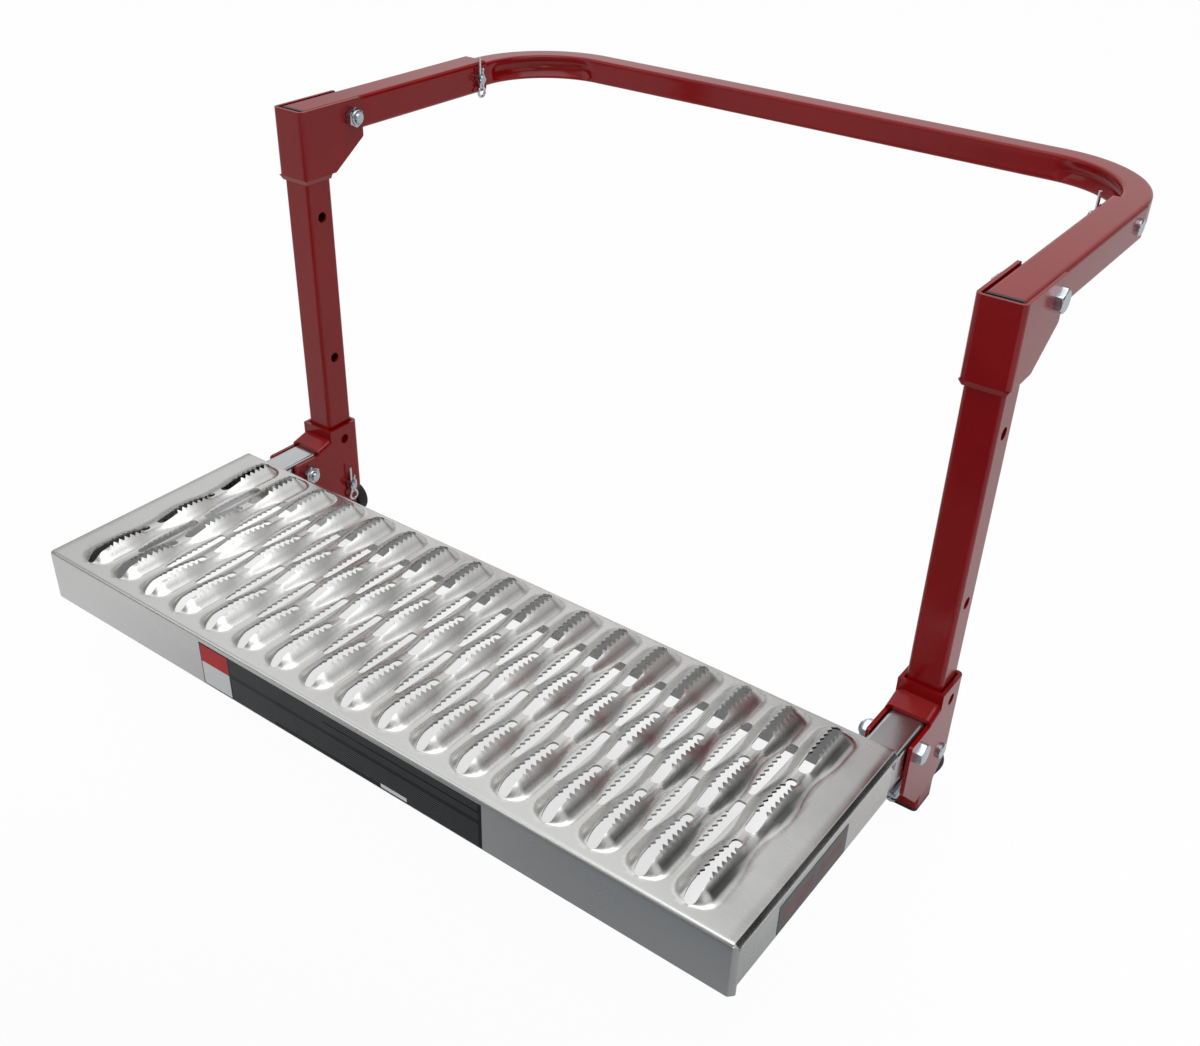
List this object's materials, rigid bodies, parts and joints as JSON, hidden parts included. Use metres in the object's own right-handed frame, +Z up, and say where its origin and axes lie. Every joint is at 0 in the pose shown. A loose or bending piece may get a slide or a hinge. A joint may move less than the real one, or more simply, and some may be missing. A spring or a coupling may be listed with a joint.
{
  "type": "tire step",
  "caption": "Folding tire step: a raised-grip metal tread on two square-tube legs, with a pivoting arm frame and hoop that goes over a tire.",
  "frame": {"origin": "middle of the step's length and depth, level with the underside of the caps under the legs", "axes": "+X along the tread, +Y from the user's side towards the tire, +Z up"},
  "size_m": [0.7628, 0.7114, 0.4807],
  "materials": {
    "galvanised_sheet": "galvanised sheet, bright, faintly streaked",
    "galvanised_tube": "galvanised tube, smooth",
    "crimson_paint": "glossy dark crimson powder coat",
    "zinc_plate": "bright bluish zinc plating",
    "spring_wire": "bright zinc-plated spring wire",
    "black_plastic": "satin black moulded plastic",
    "black_rubber": "black moulded rubber",
    "front_label": "printed sticker: fields of colour only",
    "side_label": "printed sticker: fields of colour only"
  },
  "bodies": {
    "stand": {"left_upright": "crimson_paint", "left_foot_cap": "black_plastic", "left_lower_bracket": "crimson_paint", "left_top_bracket": "crimson_paint", "left_tread_bolt": "zinc_plate", "left_tread_nut": "zinc_plate", "left_frame_bolt": "zinc_plate", "left_frame_nut": "zinc_plate", "left_height_pin": "zinc_plate", "left_height_clip": "spring_wire", "left_weld_nut": "zinc_plate", "right_upright": "crimson_paint", "right_foot_cap": "black_plastic", "right_lower_bracket": "crimson_paint", "right_top_bracket": "crimson_paint", "right_tread_bolt": "zinc_plate", "right_tread_nut": "zinc_plate", "right_frame_bolt": "zinc_plate", "right_frame_nut": "zinc_plate", "right_height_pin": "zinc_plate", "right_height_clip": "spring_wire", "right_weld_nut": "zinc_plate"},
    "tread": {"tread_plank": "galvanised_sheet", "left_end_plate": "galvanised_sheet", "right_end_plate": "galvanised_sheet", "left_support_arm": "galvanised_tube", "right_support_arm": "galvanised_tube", "front_label": "front_label", "side_label": "side_label"},
    "top_frame": {"left_arm": "crimson_paint", "right_arm": "crimson_paint", "left_arm_cap": "black_plastic", "right_arm_cap": "black_plastic", "hoop": "crimson_paint", "left_hoop_pin": "zinc_plate", "right_hoop_pin": "zinc_plate", "left_hoop_clip": "spring_wire", "right_hoop_clip": "spring_wire"},
    "left_pad": {"left_pad": "black_rubber"},
    "left_screw": {"left_level_screw": "zinc_plate"},
    "right_pad": {"right_pad": "black_rubber"},
    "right_screw": {"right_level_screw": "zinc_plate"}
  },
  "joints": [
    {"name": "tread_fold", "type": "hinge", "parent": "stand", "child": "tread", "pos_m": [0, -0.06935, 0.1005], "axis": [-1, 0, 0], "range_deg": [0, 90]},
    {"name": "frame_fold", "type": "hinge", "parent": "stand", "child": "top_frame", "pos_m": [0, 0.03265, 0.4587], "axis": [-1, 0, 0], "range_deg": [0, 90]},
    {"name": "left_pad_slide", "type": "slide", "parent": "stand", "child": "left_pad", "axis": [0, 1, 0], "range_m": [0, 0.017]},
    {"name": "left_screw_turn", "type": "hinge", "parent": "left_pad", "child": "left_screw", "pos_m": [-0.3545, -0.01435, 0.0275], "axis": [0, 1, 0], "range_deg": [0, 4080.5]},
    {"name": "right_pad_slide", "type": "slide", "parent": "stand", "child": "right_pad", "axis": [0, 1, 0], "range_m": [0, 0.017]},
    {"name": "right_screw_turn", "type": "hinge", "parent": "right_pad", "child": "right_screw", "pos_m": [0.3545, -0.01435, 0.0275], "axis": [0, 1, 0], "range_deg": [0, 4080.5]}
  ],
  "couplings": [
    {"joint": "left_screw_turn", "follows": "left_pad_slide", "rad_per_m": 4188.8},
    {"joint": "right_screw_turn", "follows": "right_pad_slide", "rad_per_m": 4188.8}
  ]
}
